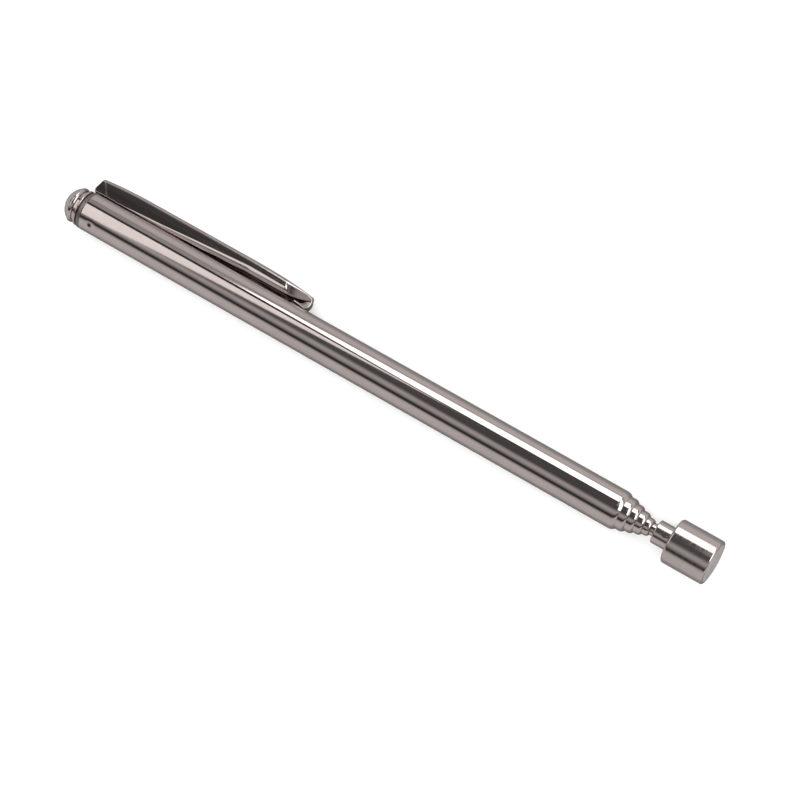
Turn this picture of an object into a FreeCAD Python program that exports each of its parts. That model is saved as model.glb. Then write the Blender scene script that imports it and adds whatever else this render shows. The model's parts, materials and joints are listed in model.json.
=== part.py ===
import FreeCAD, Part
import math
import os

# Telescopic magnetic pickup tool with a pocket clip, closed. Millimetres.
# The tool lies on a table: +X points along it to the magnet, +Z is up, and it rests on the
# magnet head and on one edge of the pocket clip, which points to +Y and a little down.
# Every piece is built round the X axis, with X = 0 at the rear end of the outer tube, and the
# whole tool is then moved so that the origin is the middle of its footprint on the table.

# ---------------------------------------------------------------- driving dimensions
# Telescopic tubes. Each one is a fixed step thinner than the one that it slides in.
OUTER_TUBE_LENGTH = 109.6
OUTER_TUBE_RADIUS = 3.5
OUTER_TUBE_WALL = 0.25
INNER_TUBE_WALL = 0.2
RADIUS_STEP = 0.475
INNER_TUBE_COUNT = 4
RUNNING_CLEARANCE = 0.04       # radial, between pieces that slide on each other
MOUTH_STEPS = (1.53, 1.4, 1.42, 1.2)    # how far each inner tube stands out of its parent
OUTER_MOUTH_ROLL = 1.03        # length over which a tube's mouth curls inwards
INNER_MOUTH_ROLL = 0.68
ROD_STAND_OUT = 0.76           # bare rod between the last mouth and the head's neck

# Guide parts at the rear end of every sliding piece
REAR_GAP = 0.2                 # closed tool: rear ends stop this far from the end cap's plug
LIP_LENGTH = 0.25              # flared rear end that keeps the spring on
LIP_HEIGHT = 0.12
SPRING_LENGTH = 2.6
SPRING_THICKNESS = 0.1
SPRING_BOW_CLEARANCE = 0.03
SPRING_SPLIT = 0.5             # width of the lengthwise slit in the spring sleeve
SPRING_SLOT_COUNT = 5
SPRING_SLOT_WIDTH = 0.35
SPRING_SLOT_LENGTH = 1.5
COLLAR_LENGTH = 1.0
COLLAR_CHAMFER = 0.1
ROD_PLAY = 0.02                # the rod turns in its collar and spring
ROD_BEAD_LENGTH = 0.4
ROD_BEAD_HEIGHT = 0.12

# End cap: a turned button, waist and plug, pressed into the outer tube
PLUG_DEPTH = 3.6
PLUG_CHAMFER = 0.3
SHANK_RADIUS = 2.4             # the stem that carries the clip ring and the washer
CLIP_RING_LENGTH = 0.76
CLIP_RING_RADIUS = 3.45
CLIP_RING_EDGE = 0.15          # its edges are chamfered by this much
WASHER_GAP = 0.28              # shadow gap between the washer and the clip ring
WASHER_LENGTH = 0.45
WASHER_RADIUS = 3.35
WAIST_LENGTH = 0.5
WAIST_RADIUS = 2.85
BUTTON_RADIUS = 3.3
BUTTON_RIM_LENGTH = 0.7
BUTTON_DOME_HEIGHT = 2.0
BUTTON_EDGE_RADIUS = 0.6

# Punched dimple that stakes the outer tube to the plug
DIMPLE_X = 2.2
DIMPLE_DEPTH = 0.16
DIMPLE_MOUTH_RADIUS = 0.42
DIMPLE_AZIMUTH = 126.0         # degrees round +X from +Y
DENT_DEPTH = 0.06              # shallow dent that the punch presses round the dimple
DENT_RADIUS = 1.0

# Magnet head
NECK_RADIUS = 2.1
NECK_LENGTH = 3.05
NECK_EDGE = 0.2
ROOT_GROOVE_WIDTH = 0.3        # undercut where the neck meets the head
ROOT_GROOVE_DEPTH = 0.25
ROD_SEAT_DEPTH = 2.6
HEAD_RADIUS = 4.05
HEAD_LENGTH = 7.95
HEAD_REAR_EDGE = 0.25
HEAD_FRONT_EDGE = 0.35
CUP_WALL = 0.5
MAGNET_LENGTH = 6.2
MAGNET_EDGE = 0.12
CRIMP_FROM_NECK_REAR = 2.0
CRIMP_DEPTH = 0.2
CRIMP_MOUTH_RADIUS = 0.5
CRIMP_AZIMUTH = 85.0

# Pocket clip: one folded strip, open towards the tube, with curled lower edges. Heights are
# from the tool's axis, and x is from the rear end of the outer tube.
CLIP_SHEET = 0.36
CLIP_WIDTH = 3.35
CLIP_CORNER_RADIUS = 0.75
CORNER_SHARE = 0.8             # but no more than this share of the half width, at the tip
CLIP_REAR_X = -1.2             # rear face of the riser
CLIP_PEAK_X = -0.85            # rear top corner
CLIP_PEAK_HEIGHT = 6.33
CLIP_BACK_HEIGHT = 6.85
CLIP_TIP_X = 43.45
CLIP_TIP_HEIGHT = 6.25
CLIP_TUBE_GAP = 0.06
CLIP_FULL_X = 8.0              # the back climbs to its full height here
FLANGE_LIFT_X = 13.0           # the flanges reach down to the tube up to here,
FLANGE_SHALLOW_X = 31.0        # and get shallower up to here
FLANGE_SHALLOW_HEIGHT = 4.25
EDGE_CURL_END = 0.4            # radius of the curled edge at the rear and at the tip,
EDGE_CURL_LIFT = 0.55          # where the flanges start to lift,
EDGE_CURL_WIDE = 1.6           # where they are shallow,
EDGE_CURL_BOW = 1.2            # and at the start of the bow
EDGE_REACH = 0.45              # how far the curled edges reach in under the channel
BOW_START_X = 37.9             # the sides fold in like a bow from here
BOW_TIP_WIDTH = 1.3
BOW_TIP_DEPTH = 0.95           # flange depth left at the tip
FOOT_WIDTH = 1.3               # tongue that curls down from the tip and back along the tube
FOOT_BULGE = 0.75
TONGUE_LENGTH = 2.6
TONGUE_LIFT = 0.3              # its end stands off the tube by this much
MITRE_X = 1.6                  # foot of the fold line between the riser and the flanges
MITRE_STEP = 0.1               # the riser's cheeks are tucked in by this much
PIVOT_HEIGHT = 3.9             # where the riser bends away from the ring
PIVOT_PLAY = 0.03

# ---------------------------------------------------------------- derived values
X_AXIS = FreeCAD.Vector(1, 0, 0)
ORIGIN = FreeCAD.Vector(0, 0, 0)
RING_REAR_X = -CLIP_RING_LENGTH
WASHER_FRONT_X = RING_REAR_X - WASHER_GAP
WASHER_REAR_X = WASHER_FRONT_X - WASHER_LENGTH
WAIST_REAR_X = WASHER_REAR_X - WAIST_LENGTH
CAP_REAR_X = WAIST_REAR_X - BUTTON_RIM_LENGTH - BUTTON_DOME_HEIGHT
REAR_END_X = PLUG_DEPTH + REAR_GAP
CLIP_HALF = CLIP_WIDTH / 2
CLIP_OPENING = CLIP_HALF - EDGE_REACH
FLANGE_BASE_HEIGHT = math.sqrt(OUTER_TUBE_RADIUS ** 2 - CLIP_OPENING ** 2) + CLIP_TUBE_GAP
PIVOT_X = -CLIP_RING_LENGTH / 2
PIVOT_RADIUS = CLIP_RING_LENGTH / 2


def vec(x, y=0.0, z=0.0):
    return FreeCAD.Vector(x, y, z)


def tube_radius(index):
    """Outer radius of tube number index, where 0 is the outer tube."""
    return OUTER_TUBE_RADIUS - index * RADIUS_STEP


def tube_wall(index):
    return OUTER_TUBE_WALL if index == 0 else INNER_TUBE_WALL


def tube_bore(index):
    return tube_radius(index) - tube_wall(index)


def mouth_x(index):
    """Front end of tube number index."""
    return OUTER_TUBE_LENGTH + sum(MOUTH_STEPS[:index])


def mouth_roll(index):
    return OUTER_MOUTH_ROLL if index == 0 else INNER_MOUTH_ROLL


ROD_INDEX = INNER_TUBE_COUNT + 1
ROD_RADIUS = tube_radius(ROD_INDEX)
NECK_REAR_X = mouth_x(INNER_TUBE_COUNT) + ROD_STAND_OUT
HEAD_REAR_X = NECK_REAR_X + NECK_LENGTH
HEAD_FRONT_X = HEAD_REAR_X + HEAD_LENGTH


# ---------------------------------------------------------------- helpers
def profile_face(items):
    """Closed face in the XY plane. An item is a point, or ("arc", middle, end)."""
    edges = []
    start = here = vec(*items[0])
    for item in items[1:]:
        if item[0] == "arc":
            middle, end = vec(*item[1]), vec(*item[2])
            edges.append(Part.Arc(here, middle, end).toShape())
        else:
            end = vec(*item)
            edges.append(Part.LineSegment(here, end).toShape())
        here = end
    if here.distanceToPoint(start) > 1e-6:
        edges.append(Part.LineSegment(here, start).toShape())
    return Part.Face(Part.Wire(edges))


def turned(items):
    """Solid of revolution about the X axis from a profile of (x, radius) points."""
    return profile_face(items).revolve(ORIGIN, X_AXIS, 360)


def ring(x, length, outer, inner, chamfer=0.0):
    """Plain ring, or a disc when inner is 0, with its outer edges chamfered."""
    return turned([
        (x, inner),
        (x, outer - chamfer),
        (x + chamfer, outer),
        (x + length - chamfer, outer),
        (x + length, outer - chamfer),
        (x + length, inner),
    ] if chamfer else [(x, inner), (x, outer), (x + length, outer), (x + length, inner)])


def corner_arc(centre_x, centre_r, radius, start_deg, end_deg):
    """Arc item about (centre_x, centre_r), from start_deg (already reached) to end_deg."""
    middle, end = (
        (centre_x + radius * math.cos(math.radians(a)), centre_r + radius * math.sin(math.radians(a)))
        for a in ((start_deg + end_deg) / 2, end_deg)
    )
    return ("arc", middle, end)


def around_axis(shape, azimuth):
    """Turn a piece built on the +Z side so that it sits at azimuth degrees from +Y."""
    turned_piece = shape.copy()
    turned_piece.rotate(ORIGIN, X_AXIS, azimuth - 90.0)
    return turned_piece


def punch(x, surface_radius, depth, mouth_radius, azimuth):
    """Cone that a pointed punch leaves behind in a round surface."""
    cone = Part.makeCone(0.0, 2 * mouth_radius, 2 * depth,
                         vec(x, 0, surface_radius - depth), vec(0, 0, 1))
    return around_axis(cone, azimuth)


def dent(x, surface_radius, depth, mouth_radius, azimuth):
    """Shallow ball-shaped hollow in a round surface."""
    ball_radius = (mouth_radius ** 2 + depth ** 2) / (2 * depth)
    ball = Part.makeSphere(ball_radius, vec(x, 0, surface_radius - depth + ball_radius))
    return around_axis(ball, azimuth)


# ---------------------------------------------------------------- telescopic tubes
def tube(index):
    """Tube with a rolled-in mouth that guides the next piece, and a flared rear end."""
    outer = tube_radius(index)
    bore = tube_bore(index)
    wall = tube_wall(index)
    hole = tube_radius(index + 1) + RUNNING_CLEARANCE
    front = mouth_x(index)
    roll = mouth_roll(index)
    drop = outer - hole
    bend = (roll ** 2 + drop ** 2) / (2 * drop)
    bend_inside = bend - wall
    centre_x = front - roll
    centre_r = outer - bend
    end_angle = math.degrees(math.asin(roll / bend))
    inside_angle = math.degrees(math.acos((hole - centre_r) / bend_inside))
    outer_arc = corner_arc(centre_x, centre_r, bend, 90, 90 - end_angle)
    inner_start = (
        centre_x + bend_inside * math.sin(math.radians(inside_angle)),
        hole,
    )
    inner_arc = corner_arc(centre_x, centre_r, bend_inside, 90 - inside_angle, 90)
    if index == 0:
        rear = [(0.0, bore), (0.0, outer)]
    else:
        lip = outer + LIP_HEIGHT
        rear = [
            (REAR_END_X, bore),
            (REAR_END_X, lip),
            (REAR_END_X + LIP_LENGTH, lip),
            (REAR_END_X + LIP_LENGTH, outer),
        ]
    body = turned(rear + [(centre_x, outer), outer_arc, inner_start, inner_arc])
    if index == 0:
        floor = outer - DENT_DEPTH
        body = body.cut(dent(DIMPLE_X, outer, DENT_DEPTH, DENT_RADIUS, DIMPLE_AZIMUTH))
        body = body.cut(punch(DIMPLE_X, floor, DIMPLE_DEPTH, DIMPLE_MOUTH_RADIUS, DIMPLE_AZIMUTH))
    return body


def friction_spring(index, play=0.0):
    """Bowed, slotted sleeve on the rear of sliding piece number index, rubbing its parent."""
    inner = tube_radius(index) + play
    crest = tube_bore(index - 1) - SPRING_BOW_CLEARANCE
    start = REAR_END_X + LIP_LENGTH
    end = start + SPRING_LENGTH
    middle = (start + end) / 2
    sleeve = turned([
        (start, inner),
        (start, inner + SPRING_THICKNESS),
        ("arc", (middle, crest), (end, inner + SPRING_THICKNESS)),
        (end, inner),
        ("arc", (middle, crest - SPRING_THICKNESS), (start, inner)),
    ])
    slit = Part.makeBox(SPRING_LENGTH, SPRING_SPLIT, crest + 1, vec(start, -SPRING_SPLIT / 2, 0))
    sleeve = sleeve.cut(slit)
    for slot in range(1, SPRING_SLOT_COUNT + 1):
        window = Part.makeBox(SPRING_SLOT_LENGTH, SPRING_SLOT_WIDTH, crest + 1,
                              vec(middle - SPRING_SLOT_LENGTH / 2, -SPRING_SLOT_WIDTH / 2, 0))
        window.rotate(ORIGIN, X_AXIS, slot * 360.0 / (SPRING_SLOT_COUNT + 1))
        sleeve = sleeve.cut(window)
    return sleeve


def stop_collar(index, play=0.0):
    """Ring in front of the spring: it guides the rear end and stops at the parent's mouth."""
    start = REAR_END_X + LIP_LENGTH + SPRING_LENGTH
    return ring(start, COLLAR_LENGTH, tube_bore(index - 1) - RUNNING_CLEARANCE,
                tube_radius(index) + play, COLLAR_CHAMFER)


def rod():
    """Solid innermost section, with a head behind its spring and a bead ahead of its collar."""
    lip = ROD_RADIUS + LIP_HEIGHT
    bead = ROD_RADIUS + ROD_BEAD_HEIGHT
    spring_start = REAR_END_X + LIP_LENGTH
    bead_start = spring_start + SPRING_LENGTH + COLLAR_LENGTH
    return turned([
        (REAR_END_X, 0.0),
        (REAR_END_X, lip),
        (spring_start, lip),
        (spring_start, ROD_RADIUS),
        (bead_start, ROD_RADIUS),
        ("arc", (bead_start + ROD_BEAD_LENGTH / 2, bead), (bead_start + ROD_BEAD_LENGTH, ROD_RADIUS)),
        (NECK_REAR_X + ROD_SEAT_DEPTH, ROD_RADIUS),
        (NECK_REAR_X + ROD_SEAT_DEPTH, 0.0),
    ])


# ---------------------------------------------------------------- end cap and its stack
def end_cap():
    """Domed button, waist, stem and plug, turned in one piece."""
    rim_rear = WAIST_REAR_X - BUTTON_RIM_LENGTH
    edge = BUTTON_EDGE_RADIUS
    plug = tube_bore(0)
    dome_bend = (BUTTON_DOME_HEIGHT ** 2 + BUTTON_RADIUS ** 2) / (2 * BUTTON_DOME_HEIGHT)
    dome_centre = CAP_REAR_X + dome_bend
    half_way = math.asin(BUTTON_RADIUS / dome_bend) / 2
    dome_middle = (dome_centre - dome_bend * math.cos(half_way), dome_bend * math.sin(half_way))
    body = turned([
        (CAP_REAR_X, 0.0),
        ("arc", dome_middle, (rim_rear, BUTTON_RADIUS)),
        (WAIST_REAR_X - edge, BUTTON_RADIUS),
        corner_arc(WAIST_REAR_X - edge, BUTTON_RADIUS - edge, edge, 90, 0),
        (WAIST_REAR_X, WAIST_RADIUS),
        (WASHER_REAR_X, WAIST_RADIUS),
        (WASHER_REAR_X, SHANK_RADIUS),
        (0.0, SHANK_RADIUS),
        (0.0, plug),
        (PLUG_DEPTH - PLUG_CHAMFER, plug),
        (PLUG_DEPTH, plug - PLUG_CHAMFER),
        (PLUG_DEPTH, 0.0),
    ])
    return body


def cap_washer():
    """Thin washer on the stem, held off the clip ring by its own raised hub."""
    hub = (WAIST_RADIUS + SHANK_RADIUS) / 2
    return turned([
        (WASHER_REAR_X, SHANK_RADIUS),
        (WASHER_REAR_X, WASHER_RADIUS),
        (WASHER_FRONT_X, WASHER_RADIUS),
        (WASHER_FRONT_X, hub),
        (RING_REAR_X, hub),
        (RING_REAR_X, SHANK_RADIUS),
    ])


# ---------------------------------------------------------------- magnet head
def magnet_cup():
    """Steel neck and cup in one turned piece, crimped onto the rod."""
    recess_radius = HEAD_RADIUS - CUP_WALL
    recess_x = HEAD_FRONT_X - MAGNET_LENGTH
    seat_x = NECK_REAR_X + ROD_SEAT_DEPTH
    body = turned([
        (seat_x, 0.0),
        (seat_x, ROD_RADIUS),
        (NECK_REAR_X, ROD_RADIUS),
        (NECK_REAR_X, NECK_RADIUS - NECK_EDGE),
        corner_arc(NECK_REAR_X + NECK_EDGE, NECK_RADIUS - NECK_EDGE, NECK_EDGE, 180, 90),
        (HEAD_REAR_X - ROOT_GROOVE_WIDTH, NECK_RADIUS),
        (HEAD_REAR_X - ROOT_GROOVE_WIDTH, NECK_RADIUS - ROOT_GROOVE_DEPTH),
        (HEAD_REAR_X, NECK_RADIUS - ROOT_GROOVE_DEPTH),
        (HEAD_REAR_X, HEAD_RADIUS - HEAD_REAR_EDGE),
        corner_arc(HEAD_REAR_X + HEAD_REAR_EDGE, HEAD_RADIUS - HEAD_REAR_EDGE, HEAD_REAR_EDGE, 180, 90),
        (HEAD_FRONT_X - HEAD_FRONT_EDGE, HEAD_RADIUS),
        corner_arc(HEAD_FRONT_X - HEAD_FRONT_EDGE, HEAD_RADIUS - HEAD_FRONT_EDGE, HEAD_FRONT_EDGE, 90, 0),
        (HEAD_FRONT_X, recess_radius),
        (recess_x, recess_radius),
        (recess_x, 0.0),
    ])
    return body.cut(punch(NECK_REAR_X + CRIMP_FROM_NECK_REAR, NECK_RADIUS, CRIMP_DEPTH,
                          CRIMP_MOUTH_RADIUS, CRIMP_AZIMUTH))


def magnet():
    """Round magnet that fills the cup, flush with its rim."""
    return ring(HEAD_FRONT_X - MAGNET_LENGTH, MAGNET_LENGTH, HEAD_RADIUS - CUP_WALL, 0.0, MAGNET_EDGE)


# ---------------------------------------------------------------- pocket clip
def clip_stations():
    """Sections of the clip from rear to tip: (x, half width, back, lower edge, edge curl)."""
    tip_half = BOW_TIP_WIDTH / 2
    bow_x = (BOW_START_X + CLIP_TIP_X) / 2
    bow_back = (CLIP_BACK_HEIGHT + 3 * CLIP_TIP_HEIGHT) / 4
    bow_start_back = (CLIP_BACK_HEIGHT + CLIP_TIP_HEIGHT) / 2
    tip_edge = CLIP_TIP_HEIGHT - BOW_TIP_DEPTH
    return (
        (CLIP_REAR_X, CLIP_HALF, CLIP_PEAK_HEIGHT, FLANGE_BASE_HEIGHT, EDGE_CURL_END),
        (CLIP_FULL_X, CLIP_HALF, CLIP_BACK_HEIGHT, FLANGE_BASE_HEIGHT, EDGE_CURL_END),
        (FLANGE_LIFT_X, CLIP_HALF, CLIP_BACK_HEIGHT, FLANGE_BASE_HEIGHT, EDGE_CURL_LIFT),
        (FLANGE_SHALLOW_X, CLIP_HALF, CLIP_BACK_HEIGHT, FLANGE_SHALLOW_HEIGHT, EDGE_CURL_WIDE),
        (BOW_START_X, CLIP_HALF, bow_start_back, FLANGE_SHALLOW_HEIGHT, EDGE_CURL_BOW),
        (bow_x, (CLIP_HALF + tip_half) / 2, bow_back, FLANGE_SHALLOW_HEIGHT, EDGE_CURL_END),
        (CLIP_TIP_X, tip_half, CLIP_TIP_HEIGHT, tip_edge, EDGE_CURL_END),
    )


def channel_section(x, half, top, bottom, curl, inset):
    """Closed outline across the clip at x, moved inwards by inset: a box with round corners."""
    corner = min(CLIP_CORNER_RADIUS, CORNER_SHARE * half) - inset
    curl = curl - inset
    half, top, bottom = half - inset, top - inset, bottom + inset
    edges = []
    corners = (
        (half - corner, top - corner, corner, 0.0),
        (corner - half, top - corner, corner, 90.0),
        (curl - half, bottom + curl, curl, 180.0),
        (half - curl, bottom + curl, curl, 270.0),
    )
    last = None
    for centre_y, centre_z, radius, start in corners:
        points = [
            vec(x, centre_y + radius * math.cos(a), centre_z + radius * math.sin(a))
            for a in (math.radians(start + turn) for turn in (0.0, 45.0, 90.0))
        ]
        if last:
            edges.append(Part.LineSegment(last, points[0]).toShape())
        else:
            first = points[0]
        edges.append(Part.Arc(*points).toShape())
        last = points[2]
    edges.append(Part.LineSegment(last, first).toShape())
    return Part.Wire(edges)


def channel(inset):
    """Solid through the clip's sections, moved inwards by inset."""
    wires = [channel_section(*station, inset) for station in clip_stations()]
    return Part.makeLoft(wires, True, True)


def standing(face):
    """Turn a face drawn in the XY plane so that its y becomes height."""
    upright = face.copy()
    upright.rotate(ORIGIN, X_AXIS, 90)
    return upright


def across(face, width):
    """Extrude a standing face to width, centred on the clip's middle plane."""
    block = face.extrude(vec(0, width, 0))
    block.translate(vec(0, -width / 2, 0))
    return block


def behind_riser(inset):
    """Everything behind the riser's rear face, moved forwards by inset."""
    lean = (CLIP_PEAK_X - CLIP_REAR_X) / (CLIP_PEAK_HEIGHT - PIVOT_HEIGHT)
    base_x = CLIP_REAR_X + inset
    top = 2 * CLIP_BACK_HEIGHT
    return across(standing(profile_face([
        (CLIP_REAR_X - CLIP_WIDTH, 0.0),
        (base_x, 0.0),
        (base_x, PIVOT_HEIGHT),
        (base_x + lean * (top - PIVOT_HEIGHT), top),
        (CLIP_REAR_X - CLIP_WIDTH, top),
    ])), 2 * CLIP_WIDTH)


def underside_slot():
    """Opening between the curled edges, narrowing along the bow."""
    rear = CLIP_REAR_X - CLIP_SHEET
    tip_half = BOW_TIP_WIDTH / 4
    end = CLIP_TIP_X - CLIP_SHEET
    face = profile_face([
        (rear, -CLIP_OPENING),
        (BOW_START_X, -CLIP_OPENING),
        (end, -tip_half),
        (end, tip_half),
        (BOW_START_X, CLIP_OPENING),
        (rear, CLIP_OPENING),
    ])
    return face.extrude(vec(0, 0, CLIP_TIP_HEIGHT - CLIP_SHEET - EDGE_CURL_END / 2))


def mitre_pockets():
    """Wedges that set the riser's cheeks back from the flanges."""
    side = standing(profile_face([
        (CLIP_REAR_X - CLIP_SHEET, 0.0),
        (CLIP_REAR_X - CLIP_SHEET, CLIP_PEAK_HEIGHT - CLIP_CORNER_RADIUS),
        (CLIP_PEAK_X, CLIP_PEAK_HEIGHT - CLIP_CORNER_RADIUS),
        (MITRE_X, FLANGE_BASE_HEIGHT),
        (MITRE_X, 0.0),
    ]))
    wide = across(side, 2 * CLIP_WIDTH)
    return wide.cut(across(side, CLIP_WIDTH - 2 * MITRE_STEP))


def foot():
    """Tongue that curls down from the tip, touches the tube and runs back under the clip."""
    top = CLIP_TIP_HEIGHT - CLIP_CORNER_RADIUS / 2
    bottom = OUTER_TUBE_RADIUS + CLIP_TUBE_GAP / 2
    middle = (top + bottom + CLIP_SHEET) / 2
    front = CLIP_TIP_X
    back = front - CLIP_SHEET
    end = front - TONGUE_LENGTH
    side = standing(profile_face([
        (back, top),
        (front, top),
        ("arc", (front + FOOT_BULGE, middle), (back, bottom)),
        (end, bottom + TONGUE_LIFT),
        (end, bottom + TONGUE_LIFT + CLIP_SHEET),
        (back, bottom + CLIP_SHEET),
        ("arc", (back + FOOT_BULGE, middle), (back, top)),
    ]))
    return across(side, FOOT_WIDTH)


def knuckle(radius, width):
    """Round bar along the line where the riser bends away from the ring."""
    return Part.makeCylinder(radius, width, vec(PIVOT_X, -width / 2, PIVOT_HEIGHT), vec(0, 1, 0))


def clip_arm():
    """Folded spring arm of the pocket clip, from the riser to the foot."""
    cavity = channel(CLIP_SHEET).cut(behind_riser(CLIP_SHEET))
    slot = underside_slot().cut(behind_riser(CLIP_SHEET))
    ring_room = Part.makeBox(-2 * CLIP_REAR_X, 2 * CLIP_OPENING, PIVOT_HEIGHT,
                             vec(2 * CLIP_REAR_X, -CLIP_OPENING, 0))
    arm = channel(0.0).cut(behind_riser(0.0))
    for hollow in (cavity, slot, mitre_pockets(), ring_room):
        arm = arm.cut(hollow)
    root = across(standing(profile_face([
        (CLIP_REAR_X, PIVOT_HEIGHT),
        (CLIP_REAR_X + CLIP_SHEET, PIVOT_HEIGHT + 2 * PIVOT_RADIUS),
        (PIVOT_X, PIVOT_HEIGHT + PIVOT_RADIUS),
        (PIVOT_X, PIVOT_HEIGHT),
    ])), 2 * CLIP_OPENING)
    for extra in (root, knuckle(PIVOT_RADIUS, 2 * CLIP_OPENING), foot()):
        arm = arm.fuse(extra)
    return arm.removeSplitter()


def clip_ring():
    """Ring end of the clip, trapped behind the tube, with the tab that the arm bends from."""
    tab_width = 2 * (CLIP_OPENING - CLIP_TUBE_GAP)
    tab = Part.makeBox(CLIP_RING_LENGTH, tab_width, PIVOT_HEIGHT - SHANK_RADIUS - CLIP_SHEET,
                       vec(RING_REAR_X, -tab_width / 2, SHANK_RADIUS + CLIP_SHEET))
    body = ring(RING_REAR_X, CLIP_RING_LENGTH, CLIP_RING_RADIUS, SHANK_RADIUS, CLIP_RING_EDGE).fuse(tab)
    return body.cut(knuckle(PIVOT_RADIUS + PIVOT_PLAY, 2 * CLIP_WIDTH)).removeSplitter()


def clip_droop():
    """Degrees below +Y at which the clip's back edge and the magnet head rest on one plane."""
    height = CLIP_BACK_HEIGHT - CLIP_CORNER_RADIUS
    half = CLIP_HALF - CLIP_CORNER_RADIUS
    reach = math.hypot(height, half)
    lean = math.atan2(half, height)
    return math.degrees(math.asin((HEAD_RADIUS - CLIP_CORNER_RADIUS) / reach) - lean)


# ---------------------------------------------------------------- assembly
def frame_shift():
    """Move from the tool's axis to the middle of its footprint on the table."""
    droop = math.radians(clip_droop())
    clip_reach = (CLIP_CORNER_RADIUS
                  + (CLIP_BACK_HEIGHT - CLIP_CORNER_RADIUS) * math.cos(droop)
                  + (CLIP_HALF - CLIP_CORNER_RADIUS) * math.sin(droop))
    return vec(-(CAP_REAR_X + HEAD_FRONT_X) / 2, (HEAD_RADIUS - clip_reach) / 2, HEAD_RADIUS)


def all_pieces():
    pieces = {
        "outer_tube": tube(0),
        "end_cap": end_cap(),
        "cap_washer": cap_washer(),
        "clip_ring": around_axis(clip_ring(), -clip_droop()),
        "clip_arm": around_axis(clip_arm(), -clip_droop()),
        "rod": rod(),
        "rod_collar": stop_collar(ROD_INDEX, ROD_PLAY),
        "rod_spring": friction_spring(ROD_INDEX, ROD_PLAY),
        "magnet_cup": magnet_cup(),
        "magnet": magnet(),
    }
    for index in range(1, INNER_TUBE_COUNT + 1):
        pieces["inner_tube_%d" % index] = tube(index)
        pieces["stop_collar_%d" % index] = stop_collar(index)
        pieces["friction_spring_%d" % index] = friction_spring(index)
    return pieces


def main():
    os.makedirs("parts", exist_ok=True)
    shift = frame_shift()
    for name, shape in all_pieces().items():
        shape.translate(shift)
        shape.exportStep("parts/%s.step" % name)
        print(name, shape.isValid(), len(shape.Solids), round(shape.Volume, 3))


main()
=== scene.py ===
import bpy
import bmesh
import json
import math
from mathutils import Matrix, Vector


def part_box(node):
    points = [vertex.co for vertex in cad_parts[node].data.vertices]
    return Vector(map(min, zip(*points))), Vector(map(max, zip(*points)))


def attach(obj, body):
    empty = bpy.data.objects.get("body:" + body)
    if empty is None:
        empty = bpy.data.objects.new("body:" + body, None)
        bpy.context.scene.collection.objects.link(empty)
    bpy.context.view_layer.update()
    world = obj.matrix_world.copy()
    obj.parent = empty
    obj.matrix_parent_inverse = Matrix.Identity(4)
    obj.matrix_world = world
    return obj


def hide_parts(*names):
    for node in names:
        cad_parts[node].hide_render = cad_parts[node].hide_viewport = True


# Telescopic magnetic pickup tool on a pale floor, in metres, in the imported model's frame:
# +X along the tool to the magnet, +Z up, +Y to the side that the pocket clip is on.
# The tool's pieces are built in its own coordinates: x from the rear end of the outer tube and
# distances from the tool's axis, which the place functions below turn into the frame's.
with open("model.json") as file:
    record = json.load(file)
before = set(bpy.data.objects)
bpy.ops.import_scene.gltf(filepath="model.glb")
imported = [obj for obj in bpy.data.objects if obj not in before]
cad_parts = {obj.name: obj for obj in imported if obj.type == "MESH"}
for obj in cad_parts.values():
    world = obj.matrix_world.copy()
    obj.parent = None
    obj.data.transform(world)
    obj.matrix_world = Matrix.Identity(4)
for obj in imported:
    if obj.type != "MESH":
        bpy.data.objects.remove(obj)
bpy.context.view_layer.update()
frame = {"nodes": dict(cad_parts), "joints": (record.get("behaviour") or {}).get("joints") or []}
MM = 0.001

# ---------------------------------------------------------------- sizes read from the frame
TUBE_LOW, TUBE_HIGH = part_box("outer_tube")
AXIS_Y = (TUBE_LOW.y + TUBE_HIGH.y) / 2
AXIS_Z = (TUBE_LOW.z + TUBE_HIGH.z) / 2
TUBE_REAR = TUBE_LOW.x
TUBE_RADIUS = (TUBE_HIGH.z - TUBE_LOW.z) / 2
TUBE_LENGTH = TUBE_HIGH.x - TUBE_LOW.x
INNER_TUBES = ("inner_tube_1", "inner_tube_2", "inner_tube_3", "inner_tube_4")
CLIP_AXIS = next(joint["axis"] for joint in frame["joints"] if joint["name"] == "clip_flex")
CLIP_DROOP = math.atan2(CLIP_AXIS[1], CLIP_AXIS[2])

# ---------------------------------------------------------------- telescopic sections
TUBE_WALL = 0.25 * MM
INNER_WALL = 0.2 * MM
RADIUS_STEP = 0.475 * MM
RUNNING_CLEARANCE = 0.04 * MM
OUTER_MOUTH_ROLL = 1.03 * MM     # length over which a mouth curls inwards
INNER_MOUTH_ROLL = 0.68 * MM
EDGE_BREAK = 0.05 * MM           # tiny bevel on cut edges
LIP_LENGTH = 0.25 * MM
LIP_HEIGHT = 0.12 * MM
TURN_SEGMENTS = 256
ARC_STEPS = 14
CRISP_ANGLE = math.radians(35)   # edges bent more than this are shaded as crisp

# ---------------------------------------------------------------- punch marks
DIMPLE_X = 2.2 * MM
DIMPLE_AZIMUTH = 126.0           # degrees round the axis from +Y towards +Z
DIMPLE_DEPTH = 0.2 * MM
DIMPLE_RADIUS = 0.36 * MM
DENT_DEPTH = 0.05 * MM
DENT_RADIUS = 1.4 * MM
CRIMP_FROM_NECK_REAR = 2.0 * MM
CRIMP_AZIMUTH = 85.0
CRIMP_DEPTH = 0.05 * MM
CRIMP_RADIUS = 0.6 * MM
MARK_STEP = 0.05 * MM            # mesh spacing round a mark

# ---------------------------------------------------------------- end cap
WAIST_RADIUS = 2.85 * MM
SHANK_RADIUS = 2.4 * MM
BUTTON_RIM = 0.7 * MM
BUTTON_DOME = 2.0 * MM
BUTTON_EDGE = 0.6 * MM
WAIST_LENGTH = 0.5 * MM
WASHER_LENGTH = 0.45 * MM
WASHER_EDGE = 0.2 * MM

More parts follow.
